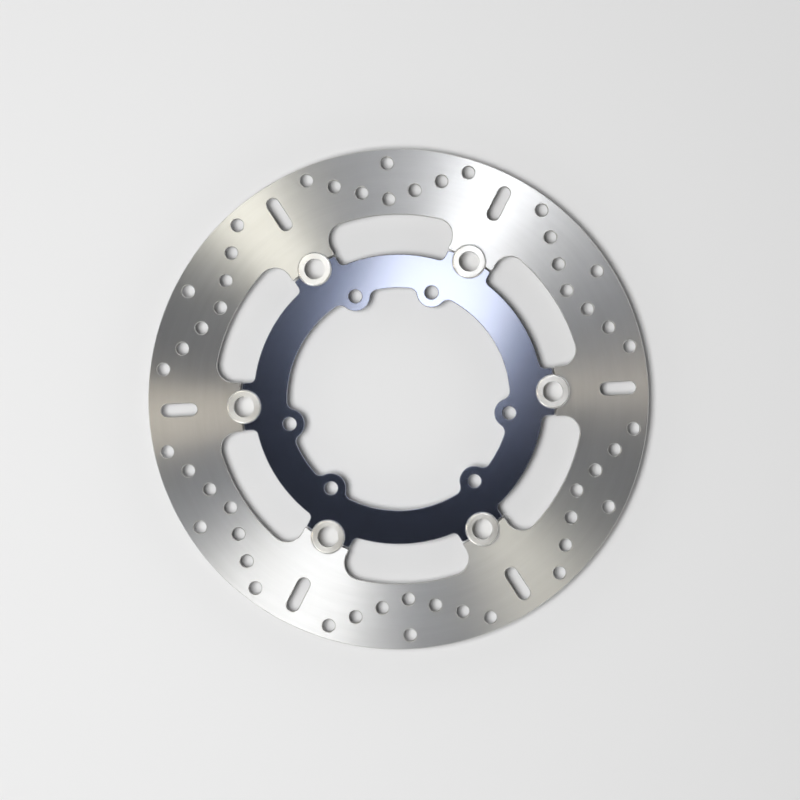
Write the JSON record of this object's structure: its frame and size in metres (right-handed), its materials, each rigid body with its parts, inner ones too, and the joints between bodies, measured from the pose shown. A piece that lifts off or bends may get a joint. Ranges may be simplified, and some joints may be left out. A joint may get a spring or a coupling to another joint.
{
  "type": "floating brake disc rotor",
  "caption": "Floating motorcycle front brake disc: drilled and slotted steel friction ring on a black hub carrier, joined by hollow drive bobbins.",
  "frame": {"origin": "centre of the bolt circle, on the carrier's rear mounting face", "axes": "+Z along the wheel axle, out of the wheel, towards the bobbins' flanges; +X through the first bobbin"},
  "size_m": [0.31, 0.31, 0.0113],
  "materials": {
    "rotor_steel": "circumferentially ground stainless steel",
    "anodised_carrier": "black anodised, satin",
    "bobbin_steel": "turned and bright plated",
    "washer_steel": "zinc plated",
    "spring_steel": "rolled spring steel",
    "ring_steel": "black phosphated spring steel"
  },
  "bodies": {
    "carrier": {"carrier": "anodised_carrier"},
    "rotor": {"brake_rotor": "rotor_steel"},
    "bobbin_1": {"drive_bobbin_1": "bobbin_steel", "flat_washer_1": "washer_steel", "wave_washer_1": "spring_steel", "retaining_ring_1": "ring_steel"},
    "bobbin_2": {"drive_bobbin_2": "bobbin_steel", "flat_washer_2": "washer_steel", "wave_washer_2": "spring_steel", "retaining_ring_2": "ring_steel"},
    "bobbin_3": {"drive_bobbin_3": "bobbin_steel", "flat_washer_3": "washer_steel", "wave_washer_3": "spring_steel", "retaining_ring_3": "ring_steel"},
    "bobbin_4": {"drive_bobbin_4": "bobbin_steel", "flat_washer_4": "washer_steel", "wave_washer_4": "spring_steel", "retaining_ring_4": "ring_steel"},
    "bobbin_5": {"drive_bobbin_5": "bobbin_steel", "flat_washer_5": "washer_steel", "wave_washer_5": "spring_steel", "retaining_ring_5": "ring_steel"},
    "bobbin_6": {"drive_bobbin_6": "bobbin_steel", "flat_washer_6": "washer_steel", "wave_washer_6": "spring_steel", "retaining_ring_6": "ring_steel"}
  },
  "joints": [
    {"name": "rotor_float", "type": "slide", "parent": "carrier", "child": "rotor", "axis": [0, 0, 1], "range_m": [-0.00025, 0.00025], "stiffness_N_per_m": 200000},
    {"name": "bobbin_1_spin", "type": "hinge", "parent": "carrier", "child": "bobbin_1", "pos_m": [0.0958, 0, 0.0035], "axis": [0, 0, 1], "continuous": true},
    {"name": "bobbin_2_spin", "type": "hinge", "parent": "carrier", "child": "bobbin_2", "pos_m": [0.0479, 0.08297, 0.0035], "axis": [0, 0, 1], "continuous": true},
    {"name": "bobbin_3_spin", "type": "hinge", "parent": "carrier", "child": "bobbin_3", "pos_m": [-0.0479, 0.08297, 0.0035], "axis": [0, 0, 1], "continuous": true},
    {"name": "bobbin_4_spin", "type": "hinge", "parent": "carrier", "child": "bobbin_4", "pos_m": [-0.0958, 0, 0.0035], "axis": [0, 0, 1], "continuous": true},
    {"name": "bobbin_5_spin", "type": "hinge", "parent": "carrier", "child": "bobbin_5", "pos_m": [-0.0479, -0.08297, 0.0035], "axis": [0, 0, 1], "continuous": true},
    {"name": "bobbin_6_spin", "type": "hinge", "parent": "carrier", "child": "bobbin_6", "pos_m": [0.0479, -0.08297, 0.0035], "axis": [0, 0, 1], "continuous": true}
  ]
}
